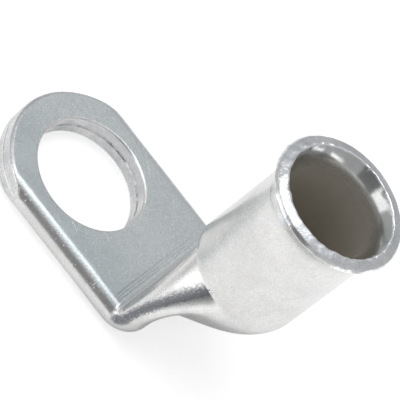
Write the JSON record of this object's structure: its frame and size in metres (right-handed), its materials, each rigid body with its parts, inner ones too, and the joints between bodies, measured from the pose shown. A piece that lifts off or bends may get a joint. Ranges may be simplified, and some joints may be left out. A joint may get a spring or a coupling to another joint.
{
  "type": "right-angle tubular cable lug",
  "caption": "Tin-plated copper tube lug with a flat ring palm for a bolt and a bell-mouthed barrel folded up square for a crimped cable.",
  "frame": {"origin": "centre of the bolt hole on the palm's contact face", "axes": "+Z along the bolt axis and the barrel axis, out of the barrel's mouth; +X from the bolt hole towards the barrel; +Y across the palm"},
  "size_m": [0.0357, 0.0192, 0.0279],
  "materials": {
    "tin_plate": "satin tin plate over copper"
  },
  "bodies": {
    "root": {"lug_body": "tin_plate"}
  },
  "joints": []
}
